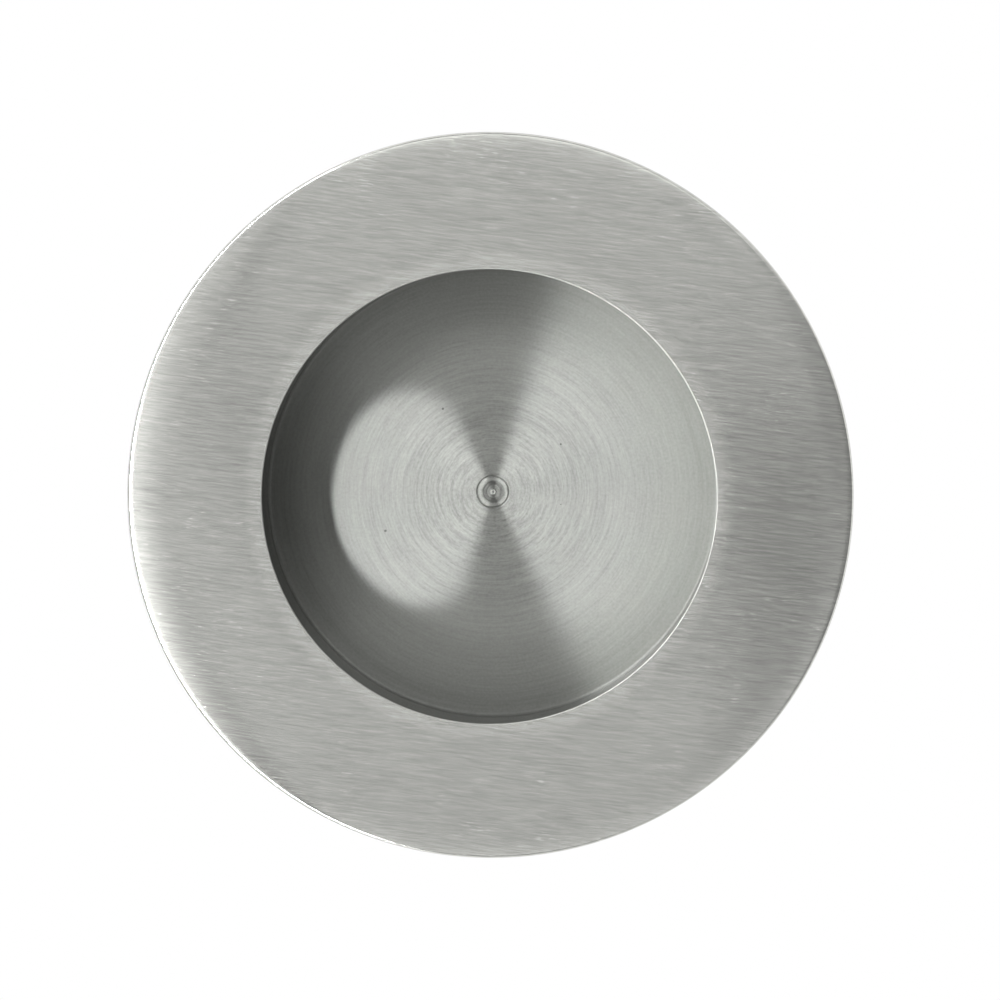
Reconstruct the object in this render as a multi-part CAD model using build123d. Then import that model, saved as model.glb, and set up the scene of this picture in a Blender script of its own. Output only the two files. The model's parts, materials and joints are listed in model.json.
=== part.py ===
from build123d import *

import os
from math import asin, cos, degrees, isclose, sin, sqrt

# Round recessed pull handle, turned from one piece of stainless steel.
#
# Frame, in millimetres: the origin is at the centre of the flange's flat back, where the handle
# seats on the face of the door. +Y goes into the door, -Y comes out towards the hand, +Z is up.
# The handle is one half section, turned about the Y axis. The section lies in the XY plane, with
# x as the radius and y as the depth, and each function below gives one area of it.

# Flange: the visible ring, very slightly domed, with a soft roll down to its rim
flange_diameter = 80.0
rim_thickness = 1.1
dome_radius = 350.0  # the dome's centre is on the axis
roll_width = 4.5  # of the outer band that rolls over
roll_radius = 50.0
rim_edge_radius = 0.4
rim_back_bevel = 0.2  # on the outer edge of the seat

# Recess: a flat-bottomed pocket for the fingertips
recess_diameter = 50.0
recess_depth = 10.0  # from the lip to the floor
recess_corner_radius = 0.4  # left by the nose of the boring tool
lip_bevel = 0.2  # takes the burr off the lip

# Mark that the facing tool leaves in the middle of the floor: a ring groove, and inside it a
# dimple with a nub
mark_groove_diameter = 3.5  # at the middle of the groove
mark_groove_width = 0.3
mark_groove_depth = 0.12
mark_dimple_diameter = 2.3
mark_dimple_depth = 0.16
mark_nub_diameter = 0.7
mark_nub_height = 0.14

# Boss: the cylinder behind the flange that is bonded into a hole in the door
boss_wall = 3.0  # between the recess and the outside of the boss
floor_thickness = 2.2
boss_bevel = 1.0  # lead-in for the hole
relief_width = 1.5  # groove in the seat round the boss, so that the seat closes on the door
relief_depth = 0.4
glue_groove_count = 2
glue_groove_pitch = 2.6
glue_groove_width = 1.2
glue_groove_depth = 0.5

# Places that follow from the sizes. The roll meets the rim at one end and the dome at the other,
# in line with it, so the rim sets where their centres are and how high the lip stands.
flange_radius = flange_diameter / 2
recess_radius = recess_diameter / 2
boss_radius = recess_radius + boss_wall
dome_sweep = asin((flange_radius - roll_width) / dome_radius)
roll_centre_x = (dome_radius - roll_radius) * sin(dome_sweep)
roll_sweep = asin((flange_radius - roll_centre_x) / roll_radius) - dome_sweep
roll_centre_y = roll_radius * cos(dome_sweep + roll_sweep) - rim_thickness
dome_centre_y = roll_centre_y + (dome_radius - roll_radius) * cos(dome_sweep)
lip_y = dome_centre_y - sqrt(dome_radius**2 - recess_radius**2)
floor_y = lip_y + recess_depth
boss_end_y = floor_y + floor_thickness
clear = 5.0  # how far an area that is cut away reaches past the metal


def band(inner, outer, front, back):
    """A rectangle between two radii and two depths."""
    return Pos((inner + outer) / 2, (front + back) / 2) * Rectangle(outer - inner, back - front)


def corners_at(area, radius):
    """The corners of an area at one radius, from the front one to the back one."""
    corners = area.vertices().filter_by(lambda corner: isclose(corner.X, radius, abs_tol=1e-6))
    return corners.sort_by(Axis.Y)


def flange():
    """The ring with its dome, roll, rim and relieved flat seat. Its middle is still full."""
    dome_degrees = degrees(dome_sweep)
    dome = CenterArc((0, dome_centre_y), dome_radius, -90, dome_degrees)
    roll_centre = (roll_centre_x, roll_centre_y)
    roll = CenterArc(roll_centre, roll_radius, dome_degrees - 90, degrees(roll_sweep))
    back = Polyline(roll @ 1, (flange_radius, 0), (0, 0), dome @ 0)
    area = make_face(dome + roll + back)
    area = fillet(corners_at(area, flange_radius)[0], rim_edge_radius)
    area = chamfer(corners_at(area, flange_radius)[-1], rim_back_bevel)
    return area - band(boss_radius, boss_radius + relief_width, -relief_depth, clear)


def boss():
    """The cylinder behind the flange, with its lead-in bevel and glue grooves."""
    area = band(0, boss_radius, 0, boss_end_y)
    area = chamfer(corners_at(area, boss_radius)[-1], boss_bevel)
    land_middle = (boss_end_y - boss_bevel) / 2
    for index in range(glue_groove_count):
        middle = land_middle + (index - (glue_groove_count - 1) / 2) * glue_groove_pitch
        front = middle - glue_groove_width / 2
        back = middle + glue_groove_width / 2
        area -= band(boss_radius - glue_groove_depth, boss_radius + clear, front, back)
    return area


def recess():
    """The space of the finger pocket: bevelled lip, wall, floor and the mark in its middle."""
    groove = mark_groove_diameter / 2
    outline = Polyline(
        (0, lip_y - clear),
        (recess_radius + lip_bevel + clear, lip_y - clear),
        (recess_radius, lip_y + lip_bevel),
        (recess_radius, floor_y),
        (groove + mark_groove_width / 2, floor_y),
        (groove, floor_y + mark_groove_depth),
        (groove - mark_groove_width / 2, floor_y),
        (mark_dimple_diameter / 2, floor_y),
        (mark_nub_diameter / 2, floor_y + mark_dimple_depth),
        (0, floor_y + mark_dimple_depth - mark_nub_height),
        close=True,
    )
    area = make_face(outline)
    return fillet(corners_at(area, recess_radius)[-1], recess_corner_radius)


def pull_body():
    """The handle: flange and boss in one solid, hollowed by the recess."""
    return revolve(flange() + boss() - recess(), Axis.Y)


os.makedirs("parts", exist_ok=True)
export_step(pull_body(), "parts/pull_body.step")
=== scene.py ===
import json
from math import asin, atan2, cos, pi, radians, sin, sqrt
import bpy
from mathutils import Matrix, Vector


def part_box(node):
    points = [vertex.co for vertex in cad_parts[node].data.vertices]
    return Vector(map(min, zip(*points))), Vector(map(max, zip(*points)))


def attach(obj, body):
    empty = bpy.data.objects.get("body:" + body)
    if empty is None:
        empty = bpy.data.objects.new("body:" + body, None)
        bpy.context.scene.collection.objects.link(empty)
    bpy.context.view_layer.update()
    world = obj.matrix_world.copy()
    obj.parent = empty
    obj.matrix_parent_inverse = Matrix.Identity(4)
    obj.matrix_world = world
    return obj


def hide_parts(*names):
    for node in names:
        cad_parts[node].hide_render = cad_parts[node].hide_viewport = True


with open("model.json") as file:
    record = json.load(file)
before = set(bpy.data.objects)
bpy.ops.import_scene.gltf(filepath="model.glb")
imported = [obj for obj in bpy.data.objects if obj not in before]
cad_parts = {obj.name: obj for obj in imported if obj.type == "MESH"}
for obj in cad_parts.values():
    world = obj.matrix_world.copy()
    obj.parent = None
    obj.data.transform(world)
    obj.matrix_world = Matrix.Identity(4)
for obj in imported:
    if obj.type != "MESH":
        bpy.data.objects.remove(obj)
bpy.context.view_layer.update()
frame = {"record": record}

# Scene of the round recessed pull handle. Metres, in the frame of the CAD: the axis of the handle
# is Y, the hand comes from -Y, +Z is up.

mm = 0.001
body_low, body_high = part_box("pull_body")
mounts = {mount["name"]: mount for mount in frame["record"]["mounts"]}

# Sizes of the section. The overall ones come from the frame, the rest repeat the CAD's.
flange_radius = body_high.x
boss_end = body_high.y
boss_radius = mounts["boss"]["dims"]["r_mm"] * mm
rim_thickness = 1.1 * mm
dome_radius = 350 * mm
roll_width = 4.5 * mm
roll_radius = 50 * mm
rim_edge_radius = 0.4 * mm
rim_back_bevel = 0.2 * mm
recess_radius = 25 * mm
recess_depth = 10 * mm
recess_corner_radius = 0.4 * mm
lip_edge_radius = 0.11 * mm
lip_run = 4.7 * mm  # of the flange that is worn soft towards the lip
lip_drop = 0.04 * mm
boss_bevel = 1.0 * mm
relief_width = 1.5 * mm
relief_depth = 0.4 * mm
glue_groove_count = 2
glue_groove_pitch = 2.6 * mm
glue_groove_width = 1.2 * mm
glue_groove_depth = 0.5 * mm
mark_groove_radius = 1.75 * mm
mark_groove_width = 0.3 * mm
mark_groove_depth = 0.12 * mm
mark_dimple_radius = 1.15 * mm
mark_dimple_depth = 0.16 * mm
mark_nub_radius = 0.35 * mm
mark_nub_top_radius = 0.28 * mm
mark_nub_height = 0.14 * mm
mark_nub_pit_radius = 0.1 * mm
mark_nub_pit_depth = 0.05 * mm
mark_step_radius = 0.8 * mm  # the dimple goes down in two steps that the tool left
mark_step_depth = 0.096 * mm
mark_step_run = 0.1 * mm

# Places that follow from the sizes
dome_sweep = asin((flange_radius - roll_width) / dome_radius)
roll_centre_x = (dome_radius - roll_radius) * sin(dome_sweep)
roll_sweep = asin((flange_radius - roll_centre_x) / roll_radius) - dome_sweep
roll_centre_y = roll_radius * cos(dome_sweep + roll_sweep) - rim_thickness
dome_centre_y = roll_centre_y + (dome_radius - roll_radius) * cos(dome_sweep)
lip_y = dome_centre_y - sqrt(dome_radius**2 - recess_radius**2)
floor_y = lip_y + recess_depth

# Finish: colours, the slope of the brushing, how light the recess's floor is painted at each radius
# (painted highlight and painted shade), and the pits in it, as right, up and radius
flange_colour = (0.58, 0.584, 0.554)
# The recess is the same steel as the flange but is painted darker: painted shade of the recess.
recess_shaded_colour = (0.366, 0.373, 0.352)
edge_colour = (0.50, 0.504, 0.48)
# The recess's wall is painted darker still: painted shade inside the recess.
wall_shaded_colour = (0.28, 0.286, 0.270)
brush_slope = radians(7.0)
edge_band_width = 2.2 * mm  # of the bands at the rim and the lip that are painted lighter, a painted highlight; the rim's band is also made less rough
rim_highlight = 0.16
rim_smoother = 0.15
lip_highlight = 0.27
# Up to 2.1 mm the tones paint light and dark rings on the centre mark, a painted highlight and
# painted shade; from 15 mm out they fall, painted shade towards the wall.
floor_painted_shading = [
    (0.00 * mm, 0.30),
    (0.09 * mm, 0.35),
    (0.18 * mm, 1.30),
    (0.32 * mm, 1.20),
    (0.42 * mm, 0.45),
    (0.60 * mm, 0.60),
    (0.85 * mm, 0.44),
    (1.18 * mm, 0.52),
    (1.35 * mm, 1.05),
    (1.55 * mm, 1.05),
    (1.70 * mm, 0.70),
    (2.10 * mm, 0.95),
    (4.00 * mm, 1.00),
    (15.0 * mm, 1.00),
    (25.0 * mm, 0.70),
]
pits = [
    (-5.6 * mm, 9.2 * mm, 0.16 * mm),
    (7.5 * mm, 5.3 * mm, 0.13 * mm),
    (-12.0 * mm, -4.4 * mm, 0.18 * mm),
    (7.5 * mm, -1.4 * mm, 0.08 * mm),
]
pit_darker = 0.6
pit_lower = 2.0

# Mesh
segments = 600  # round the axis
sharp_angle = radians(28)

# Lamps, in an upright plane in front of the handle. Places and sizes are slopes from its axis,
# right and up, and a level is how bright a lamp's face is.
light_distance = 1.0
upright_width = 0.065
uprights = [  # name, lower end of the middle line, its upper end, level
    ("strip_high", (-0.775, 0.0), (-0.79, 1.3), 86.0),
    ("strip_low", (-0.76, 0.0), (-0.48, -1.32), 79.0),
]
softboxes = [  # name, range to the right, range up, level
    ("upper", (-0.72, 0.95), (0.55, 1.0), 2.10),
    ("upper_middle", (-0.30, 0.295), (0.128, 0.55), 0.48),
    ("upper_near", (-0.255, 0.183), (0.063, 0.128), 1.95),
    ("upper_near_right", (0.183, 0.295), (0.063, 0.128), 1.75),
    ("left", (-0.54, -0.30), (-0.324, 0.40), 0.67),
    ("left_near", (-0.294, -0.233), (-0.155, 0.063), 0.35),
    ("right", (0.295, 0.458), (-0.15, 0.55), 0.34),
    ("far_right", (0.458, 1.10), (-0.50, 0.55), 0.26),
    ("lower_near", (-0.30, 0.153), (-0.208, -0.155), 2.0),
    ("lower_near_right", (0.153, 0.432), (-0.208, -0.155), 0.42),
    ("lower_middle", (-0.30, 0.458), (-0.72, -0.208), 0.57),
    ("lower", (-0.72, 0.95), (-0.945, -0.72), 1.50),
]

# Surroundings that the metal sees: their level at the front, and how much the level changes
# between two depths of a direction, which go from -1 at the front to 1 at the back
front_level = 0.02
level_changes = [
    (-0.62, -0.50, 0.43),
    (-0.25, 0.10, 0.75),
    (0.42, 0.74, -0.60),
]

# Pale floor below the lamps
floor_drop = 1.4
floor_reach = 8.0
floor_colour = (0.86, 0.86, 0.85)
floor_roughness = 0.8
floor_glow = 0.75

# Camera: a long lens, a little to the right of the axis and a little above it
camera_azimuth = 2.7
camera_elevation = 3.3
camera_distance = 0.9
sensor_width = 36  # of a full frame, in millimetres, as Blender counts it
view_width = 110.07 * mm
view_aim_right = 1.12 * mm
view_aim_up = -0.47 * mm


def arc(centre, radius, start, end, steps):
    """Points on an arc, from one angle to another."""
    angles = [start + (end - start) * step / steps for step in range(steps + 1)]
    return [(centre[0] + radius * cos(a), centre[1] + radius * sin(a)) for a in angles]


def line(start, end, steps):
    """Points on a straight run."""
    shares = [step / steps for step in range(steps + 1)]
    return [tuple(a + (b - a) * share for a, b in zip(start, end)) for share in shares]


def dome_y(radius):
    """The front of the dome at a radius. It drops a little more towards the lip, worn soft."""
    share = max(0, 1 - (radius - recess_radius) / lip_run)
    return dome_centre_y - sqrt(dome_radius**2 - radius**2) + lip_drop * share**2


def front_runs():
    """The half section that the hand and eye meet, from the axis to the rim's back."""
    groove = mark_groove_radius
    half = mark_groove_width / 2
    corner = recess_corner_radius
    edge = lip_edge_radius
    nub_top = floor_y + mark_dimple_depth - mark_nub_height
    mark = [
        (0, nub_top + mark_nub_pit_depth),
        (mark_nub_pit_radius, nub_top),
        (mark_nub_top_radius, nub_top),
        (mark_nub_radius, floor_y + mark_dimple_depth),
        (mark_step_radius - mark_step_run, floor_y + mark_dimple_depth),
        (mark_step_radius, floor_y + mark_step_depth),
        (mark_dimple_radius - mark_step_run, floor_y + mark_step_depth),
        (mark_dimple_radius, floor_y),
        (groove - half, floor_y),
        (groove, floor_y + mark_groove_depth),
        (groove + half, floor_y),
    ]
    floor = line(mark[-1], (recess_radius - corner, floor_y), steps=24)
    floor_corner = arc((recess_radius - corner, floor_y - corner), corner, pi / 2, 0, steps=6)
    lip_x = recess_radius + edge
    lip_angle = asin(lip_x / dome_radius) - atan2(2 * lip_drop, lip_run)
    lip_centre = (lip_x, dome_y(lip_x) + edge * cos(lip_angle))
    wall = line(floor_corner[-1], (recess_radius, lip_centre[1]), steps=8)
    lip = arc(lip_centre, edge, pi, 1.5 * pi + lip_angle, steps=6)
    dome_end = flange_radius - roll_width
    radii = [radius for radius, _ in line((lip_x, 0), (dome_end, 0), steps=16)]
    dome = [lip[-1]] + [(radius, dome_y(radius)) for radius in radii[1:]]
    rim_x = flange_radius - rim_edge_radius
    reach = roll_radius - rim_edge_radius
    rim_y = roll_centre_y - sqrt(reach**2 - (rim_x - roll_centre_x) ** 2)
    roll_end = atan2(rim_y - roll_centre_y, rim_x - roll_centre_x)
    roll_centre = (roll_centre_x, roll_centre_y)
    roll = arc(roll_centre, roll_radius, dome_sweep - pi / 2, roll_end, steps=10)
    rim = arc((rim_x, rim_y), rim_edge_radius, roll_end, 0, steps=8)
    rim_back = [(flange_radius, -rim_back_bevel), (flange_radius - rim_back_bevel, 0)]
    return [
        ("turned", mark + floor[1:] + floor_corner[1:]),
        ("wall", wall),
        ("edge", lip),
        ("brushed", dome + roll[1:] + rim[1:] + rim_back),
    ]


def back_runs():
    """The half section that the door hides, from the rim's back to the axis."""
    relief = boss_radius + relief_width
    seat = line((flange_radius - rim_back_bevel, 0), (relief, 0), steps=6)
    points = seat + [(relief, -relief_depth), (boss_radius, -relief_depth)]
    land_middle = (boss_end - boss_bevel) / 2
    for index in range(glue_groove_count):
        middle = land_middle + (index - (glue_groove_count - 1) / 2) * glue_groove_pitch
        front = middle - glue_groove_width / 2
        back = middle + glue_groove_width / 2
        inner = boss_radius - glue_groove_depth
        points += [(boss_radius, front), (inner, front), (inner, back), (boss_radius, back)]
    points += [(boss_radius, boss_end - boss_bevel), (boss_radius - boss_bevel, boss_end)]
    points += line(points[-1], (0, boss_end), steps=10)[1:]
    return [("backed", points)]


def turned_mesh(name, runs, materials):
    """Turns the runs of a half section about Y into one closed mesh. Each run names its finish."""
    finishes = list(materials)
    turns = [2 * pi * step / segments for step in range(segments)]
    vertices = []
    faces = []
    slots = []
    ring = None
    for finish, points in runs:
        for radius, depth in points[1:] if ring else points:
            last = ring
            if radius < 1e-9:
                ring = [len(vertices)] * segments
                vertices.append((0, depth, 0))
            else:
                ring = list(range(len(vertices), len(vertices) + segments))
                vertices += [(radius * cos(a), depth, radius * sin(a)) for a in turns]
            if last is None:
                continue
            for step in range(segments):
                after = (step + 1) % segments
                corners = [last[step], last[after], ring[after], ring[step]]
                faces.append(list(dict.fromkeys(corners)))
                slots.append(finishes.index(finish))
    mesh = bpy.data.meshes.new(name)
    mesh.from_pydata(vertices, [], faces)
    mesh.polygons.foreach_set("material_index", slots)
    mesh.polygons.foreach_set("use_smooth", [True] * len(faces))
    mesh.set_sharp_from_angle(angle=sharp_angle)
    mesh.validate()
    for material in materials.values():
        mesh.materials.append(material)
    piece = bpy.data.objects.new(name, mesh)
    bpy.context.scene.collection.objects.link(piece)
    return piece


class Nodes:
    """Adds nodes to a node tree. An input is given as a value or as another node's output."""

    def __init__(self, tree):
        self.tree = tree
        tree.nodes.clear()

    def add(self, kind, inputs=(), **settings):
        made = self.tree.nodes.new(kind)
        for name, value in settings.items():
            setattr(made, name, value)
        for name, value in dict(inputs).items():
            if isinstance(value, bpy.types.NodeSocket):
                self.tree.links.new(value, made.inputs[name])
            else:
                made.inputs[name].default_value = value
        return made.outputs

    def maths(self, operation, first, second=0.0, third=0.0):
        inputs = {0: first, 1: second, 2: third}
        return self.add("ShaderNodeMath", inputs, operation=operation)[0]

    def spread(self, value, low, high, to_low, to_high):
        inputs = {"Value": value, 1: low, 2: high, 3: to_low, 4: to_high}
        return self.add("ShaderNodeMapRange", inputs)["Result"]

    def vector(self, operation, first, second=(0, 0, 0), **inputs):
        made = self.add("ShaderNodeVectorMath", {0: first, 1: second, **inputs}, operation=operation)
        return made[1] if operation in ("LENGTH", "DISTANCE", "DOT_PRODUCT") else made[0]

    def noise(self, vector):
        inputs = {"Vector": vector, "Scale": 1.0, "Detail": 2.0, "Roughness": 0.5}
        return self.add("ShaderNodeTexNoise", inputs)["Fac"]

    def streaks(self, place, length, width, shift=0.0):
        """Noise drawn out along X, and as long in depth, so that the dome doesn't bend it."""
        scale = (1 / length, 1 / length, 1 / width)
        inputs = {"Vector": place, "Scale": scale, "Location": (shift, shift, shift)}
        return self.noise(self.add("ShaderNodeMapping", inputs)[0])

    def rings(self, radial, radius, turn, width, shift=0.0):
        """Noise drawn out round the axis. The turn is how many of its lengths go to a radian."""
        around = self.vector("SCALE", radial, Scale=turn)
        outward = self.maths("MULTIPLY_ADD", radius, 1 / width, shift)
        along = self.add("ShaderNodeCombineXYZ", {"Y": outward})[0]
        return self.noise(self.vector("ADD", around, along))

    def ramp(self, value, reach, marks):
        """A level from 0 to 2 that follows marks, each a place between 0 and the reach and the
        level there."""
        made = self.add("ShaderNodeValToRGB", {"Fac": self.maths("MULTIPLY", value, 1 / reach)})
        elements = made[0].node.color_ramp.elements
        for place, _ in marks[1:-1]:
            elements.new(place / reach)
        for element, (place, level) in zip(elements, marks):
            element.position = place / reach
            element.color = (level / 2, level / 2, level / 2, 1)
        return self.maths("MULTIPLY", made["Color"], 2.0)

    def blend(self, middle, *parts):
        """A level that noises, each with its share, move up and down from its middle."""
        total = middle - sum(share for part, share in parts) / 2
        for part, share in parts:
            total = self.maths("MULTIPLY_ADD", part, share, total)
        return total


def metal(name, base, roughness, anisotropy):
    """A material, the builder of its nodes and its metal shader."""
    material = bpy.data.materials.new(name)
    material.use_nodes = True
    nodes = Nodes(material.node_tree)
    shader = nodes.tree.nodes.new("ShaderNodeBsdfPrincipled")
    shader.inputs["Base Color"].default_value = (*base, 1)
    shader.inputs["Metallic"].default_value = 1.0
    shader.inputs["Roughness"].default_value = roughness
    shader.inputs["Anisotropic"].default_value = anisotropy
    output = nodes.tree.nodes.new("ShaderNodeOutputMaterial")
    nodes.tree.links.new(shader.outputs[0], output.inputs["Surface"])
    return material, nodes, shader


def surface(nodes, shader, tone, rough, height, depth):
    """Links the detail of a surface. The tone multiplies the shader's colour and the rough its
    roughness, and the height is a bump of that depth."""
    base = tuple(shader.inputs["Base Color"].default_value)[:3]
    colour = nodes.vector("SCALE", base, Scale=tone)
    roughness = nodes.maths("MULTIPLY", rough, shader.inputs["Roughness"].default_value)
    bump = nodes.add("ShaderNodeBump", {"Height": height, "Distance": depth, "Strength": 1.0})
    nodes.tree.links.new(colour, shader.inputs["Base Color"])
    nodes.tree.links.new(roughness, shader.inputs["Roughness"])
    nodes.tree.links.new(bump[0], shader.inputs["Normal"])


def brushed_metal():
    """The flange: brushed in straight lines that fall a little to the right."""
    finish = {"roughness": 0.21, "anisotropy": 0.93}
    material, nodes, shader = metal("brushed_flange", flange_colour, **finish)
    place = nodes.add("ShaderNodeTexCoord")["Object"]
    turned = {"Vector": place, "Rotation": (0, -brush_slope, 0)}
    lines = nodes.add("ShaderNodeMapping", turned)[0]
    grain = nodes.streaks(lines, 1.9 * mm, 0.10 * mm)
    streak = nodes.streaks(lines, 3.8 * mm, 0.17 * mm, shift=2.3)
    band = nodes.streaks(lines, 16 * mm, 0.9 * mm)
    cloud = nodes.streaks(place, 7 * mm, 7 * mm)
    scratch = nodes.spread(nodes.streaks(lines, 1.4 * mm, 0.11 * mm, shift=3.7), 0.64, 0.74, 0, 1)
    worn = nodes.spread(nodes.streaks(place, 9 * mm, 9 * mm, shift=8.1), 0.40, 0.62, 0, 1)
    scratch = nodes.maths("MULTIPLY", scratch, worn)
    tone = nodes.blend(1.0, (grain, 0.45), (streak, 0.45), (band, 0.14), (cloud, 0.08))
    tone = nodes.maths("MULTIPLY_ADD", scratch, 0.60, tone)
    rough = nodes.blend(1.0, (streak, 0.20), (cloud, 0.10))
    radius = nodes.vector("LENGTH", nodes.vector("MULTIPLY", place, (1, 0, 1)))
    # Painted highlight: the flange is painted lighter in bands at the rim and at the lip; the rim's
    # band is also less rough.
    rim = nodes.spread(radius, flange_radius - edge_band_width, flange_radius, 0.0, 1.0)
    lip = nodes.spread(radius, recess_radius, recess_radius + edge_band_width, 1.0, 0.0)
    highlight_gain = nodes.maths("MULTIPLY_ADD", rim, rim_highlight, 1.0)
    highlight_gain = nodes.maths("MULTIPLY_ADD", lip, lip_highlight, highlight_gain)
    smoother = nodes.maths("MULTIPLY_ADD", rim, -rim_smoother, 1.0)
    tone = nodes.maths("MULTIPLY", tone, highlight_gain)
    rough = nodes.maths("MULTIPLY", rough, smoother)
    height = nodes.blend(0.0, (grain, 1.0), (streak, 1.0), (scratch, 0.5))
    surface(nodes, shader, tone, rough, height, 0.004 * mm)
    across_lines = {"X": -0.07, "Y": 0.0, "Z": 1.0}
    tangent = nodes.add("ShaderNodeCombineXYZ", across_lines)[0]
    nodes.tree.links.new(tangent, shader.inputs["Tangent"])
    return material


def turned_metal():
    """The recess: turned, so that its marks run round the axis, with a few pits."""
    finish = {"roughness": 0.40, "anisotropy": 1.0}
    # Its colour is painted darker than the flange's steel: painted shade of the recess.
    material, nodes, shader = metal("turned_recess", recess_shaded_colour, **finish)
    place = nodes.add("ShaderNodeTexCoord")["Object"]
    flat = nodes.vector("MULTIPLY", place, (1, 0, 1))
    radius = nodes.vector("LENGTH", flat)
    radial = nodes.vector("NORMALIZE", flat)
    grain = nodes.rings(radial, radius, 12.0, 0.15 * mm)
    ring = nodes.rings(radial, radius, 2.0, 0.30 * mm, shift=5.0)
    band = nodes.rings(radial, radius, 0.3, 1.6 * mm, shift=9.0)
    mottle = nodes.streaks(place, 0.28 * mm, 0.28 * mm)
    cloud = nodes.streaks(place, 6 * mm, 6 * mm)
    near = nodes.spread(radius, 5 * mm, 18 * mm, 1.2, 0.42)
    marks = nodes.blend(0.0, (grain, 0.42), (ring, 0.64), (band, 0.18))
    tone = nodes.blend(1.0, (mottle, 0.30), (cloud, 0.12))
    tone = nodes.maths("MULTIPLY_ADD", marks, near, tone)
    # painted highlight and painted shade rings on the centre mark, and painted shade towards the
    # wall
    tone = nodes.maths("MULTIPLY", tone, nodes.ramp(radius, recess_radius, floor_painted_shading))
    rough = nodes.blend(1.0, (ring, 0.25), (cloud, 0.20))
    height = nodes.blend(0.0, (grain, 1.0), (ring, 1.5))
    for right, up, size in pits:
        away = nodes.vector("DISTANCE", flat, (right, 0, up))
        pit = nodes.spread(away, size * 0.5, size, 1.0, 0.0)
        tone = nodes.maths("MULTIPLY_ADD", pit, -pit_darker, tone)
        height = nodes.maths("MULTIPLY_ADD", pit, -pit_lower, height)
    surface(nodes, shader, tone, rough, height, 0.004 * mm)
    tangent = nodes.vector("ADD", radial, (0, -1, 0))
    nodes.tree.links.new(tangent, shader.inputs["Tangent"])
    return material


def round_metal(name, base, roughness, anisotropy, turn, width):
    """A hidden or narrow turned face. Its marks run round the axis too."""
    material, nodes, shader = metal(name, base, roughness, anisotropy)
    place = nodes.add("ShaderNodeTexCoord")["Object"]
    flat = nodes.vector("MULTIPLY", place, (1, 0, 1))
    radial = nodes.vector("NORMALIZE", flat)
    depth = nodes.vector("DOT_PRODUCT", place, (0, 1, 0))
    run = nodes.maths("ADD", nodes.vector("LENGTH", flat), depth)
    grain = nodes.rings(radial, run, turn, width)
    ring = nodes.rings(radial, run, turn * 0.3, width * 2.5, shift=5.0)
    cloud = nodes.streaks(place, 5 * mm, 5 * mm)
    tone = nodes.blend(1.0, (grain, 0.25), (ring, 0.30), (cloud, 0.15))
    rough = nodes.blend(1.0, (ring, 0.30), (cloud, 0.25))
    height = nodes.blend(0.0, (grain, 1.0), (ring, 1.5))
    surface(nodes, shader, tone, rough, height, 0.005 * mm)
    tangent = nodes.vector("ADD", radial, (0, -1, 0))
    nodes.tree.links.new(tangent, shader.inputs["Tangent"])
    return material


def lamp(name, middle, size, turn, level):
    """A lamp that the camera doesn't see."""
    light = bpy.data.lights.new(name, "AREA")
    light.shape = "RECTANGLE"
    light.size = size[0] * light_distance
    light.size_y = size[1] * light_distance
    light.energy = level * pi * light.size * light.size_y
    made = bpy.data.objects.new(name, light)
    made.location = (middle[0] * light_distance, -light_distance, middle[1] * light_distance)
    made.rotation_euler = (pi / 2, turn, 0)
    made.visible_camera = False
    bpy.context.scene.collection.objects.link(made)


def upright(name, start, end, level):
    """A narrow lamp whose middle line runs between two points."""
    run = Vector(end) - Vector(start)
    middle = (Vector(start) + Vector(end)) / 2
    lamp(name, middle, (upright_width, run.length), atan2(run.x, run.y), level)


def softbox(name, across, up, level):
    """A lamp that fills a range across and a range up."""
    middle = ((across[0] + across[1]) / 2, (up[0] + up[1]) / 2)
    lamp(name, middle, (across[1] - across[0], up[1] - up[0]), 0, level)


def surroundings():
    """The world: white to the camera, and uneven to the metal."""
    world = bpy.data.worlds.new("studio")
    world.use_nodes = True
    bpy.context.scene.world = world
    nodes = Nodes(world.node_tree)
    direction = nodes.add("ShaderNodeTexCoord")["Generated"]
    depth = nodes.add("ShaderNodeSeparateXYZ", {0: direction})["Y"]
    level = front_level
    for near, far, change in level_changes:
        level = nodes.maths("ADD", nodes.spread(depth, near, far, 0.0, change), level)
    camera_ray = nodes.add("ShaderNodeLightPath")["Is Camera Ray"]
    strength = nodes.maths("MAXIMUM", level, camera_ray)
    background = nodes.add("ShaderNodeBackground", {"Color": (1, 1, 1, 1), "Strength": strength})
    nodes.add("ShaderNodeOutputWorld", {"Surface": background[0]})


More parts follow.
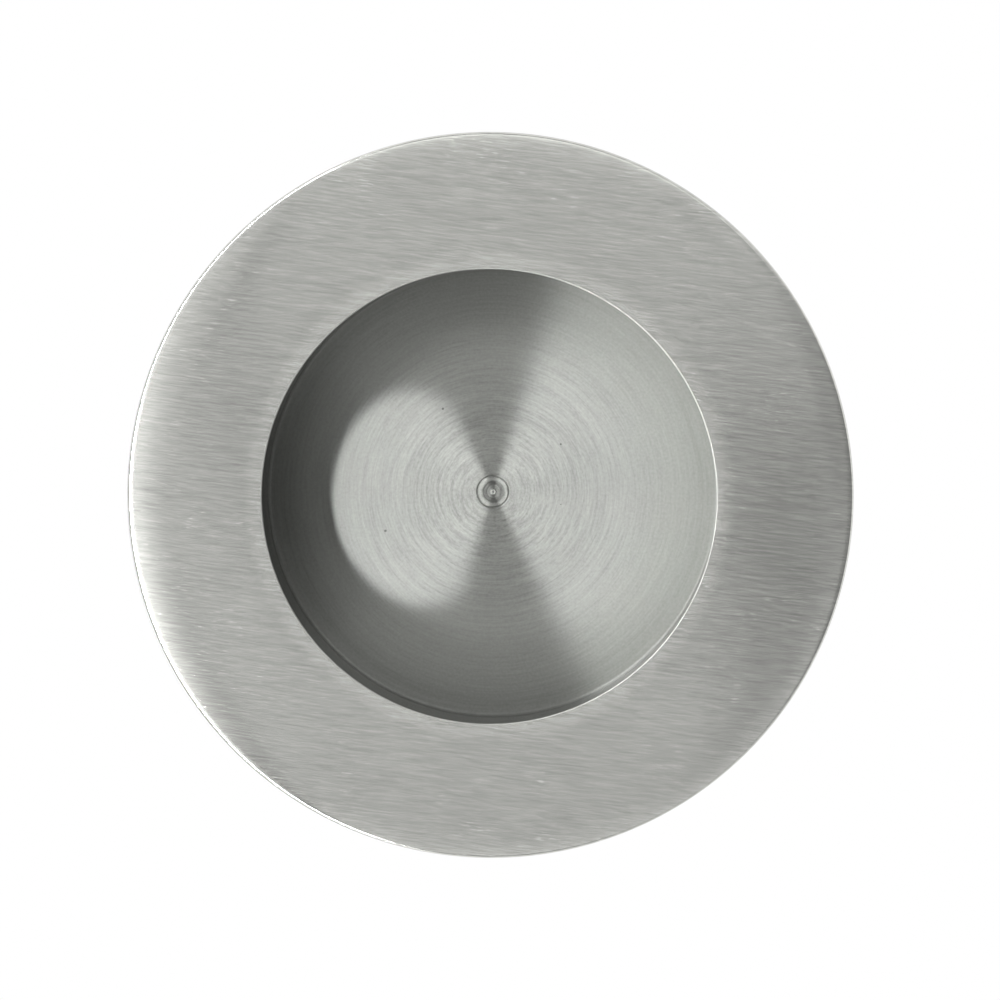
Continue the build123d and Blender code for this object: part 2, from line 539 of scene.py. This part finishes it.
def ground():
    """The pale floor. Reflections leave it out, because it would light the lower flange."""
    material = bpy.data.materials.new("pale_floor")
    material.use_nodes = True
    nodes = Nodes(material.node_tree)
    place = nodes.add("ShaderNodeTexCoord")["Object"]
    cloud = nodes.streaks(place, 0.5, 0.5)
    tone = nodes.blend(1.0, (cloud, 0.04))
    colour = nodes.vector("SCALE", floor_colour, Scale=tone)
    camera_ray = nodes.add("ShaderNodeLightPath")["Is Camera Ray"]
    glow = nodes.maths("MULTIPLY", camera_ray, floor_glow)
    shade = {"Base Color": colour, "Roughness": floor_roughness}
    light = {"Emission Color": colour, "Emission Strength": glow}
    shader = nodes.add("ShaderNodeBsdfPrincipled", {**shade, **light})
    nodes.add("ShaderNodeOutputMaterial", {"Surface": shader[0]})
    corners = [(-1, -1, 0), (1, -1, 0), (1, 1, 0), (-1, 1, 0)]
    mesh = bpy.data.meshes.new("ground")
    mesh.from_pydata([[floor_reach * part for part in corner] for corner in corners], [], [range(4)])
    mesh.materials.append(material)
    plane = bpy.data.objects.new("ground", mesh)
    plane.location = (0, 0, -floor_drop)
    plane.visible_glossy = False
    bpy.context.scene.collection.objects.link(plane)


def camera():
    """The camera. Its lens makes the view as wide as asked at the handle."""
    azimuth = radians(camera_azimuth)
    elevation = radians(camera_elevation)
    back = Vector(
        (sin(azimuth) * cos(elevation), -cos(azimuth) * cos(elevation), sin(elevation))
    )
    turn = (-back).to_track_quat("-Z", "Y")
    rim_centre = Vector((0, -rim_thickness / 2, 0))
    aim = rim_centre + turn @ Vector((view_aim_right, view_aim_up, 0))
    data = bpy.data.cameras.new("camera")
    data.sensor_width = sensor_width
    data.lens = sensor_width * camera_distance / view_width
    view = bpy.data.objects.new("camera", data)
    view.location = aim + back * camera_distance
    view.rotation_mode = "QUATERNION"
    view.rotation_quaternion = turn
    bpy.context.scene.collection.objects.link(view)
    bpy.context.scene.camera = view


finishes = {
    "brushed": brushed_metal(),
    "edge": round_metal(
        "lip_edge", edge_colour, roughness=0.38, anisotropy=0.0, turn=4.0, width=0.05 * mm
    ),
    "turned": turned_metal(),
    # the wall's colour is painted darker than the steel: painted shade inside the recess
    "wall": round_metal(
        "recess_wall", wall_shaded_colour, roughness=0.14, anisotropy=0.0, turn=4.0, width=0.12 * mm
    ),
    "backed": round_metal(
        "back", edge_colour, roughness=0.34, anisotropy=0.7, turn=3.0, width=0.15 * mm
    ),
}
body = turned_mesh("pull_handle", front_runs() + back_runs(), finishes)
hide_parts("pull_body")
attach(body, "root")
for name, start, end, level in uprights:
    upright(name, start, end, level)
for name, across, up, level in softboxes:
    softbox(name, across, up, level)
surroundings()
ground()
camera()
bpy.context.scene.view_settings.view_transform = "Standard"
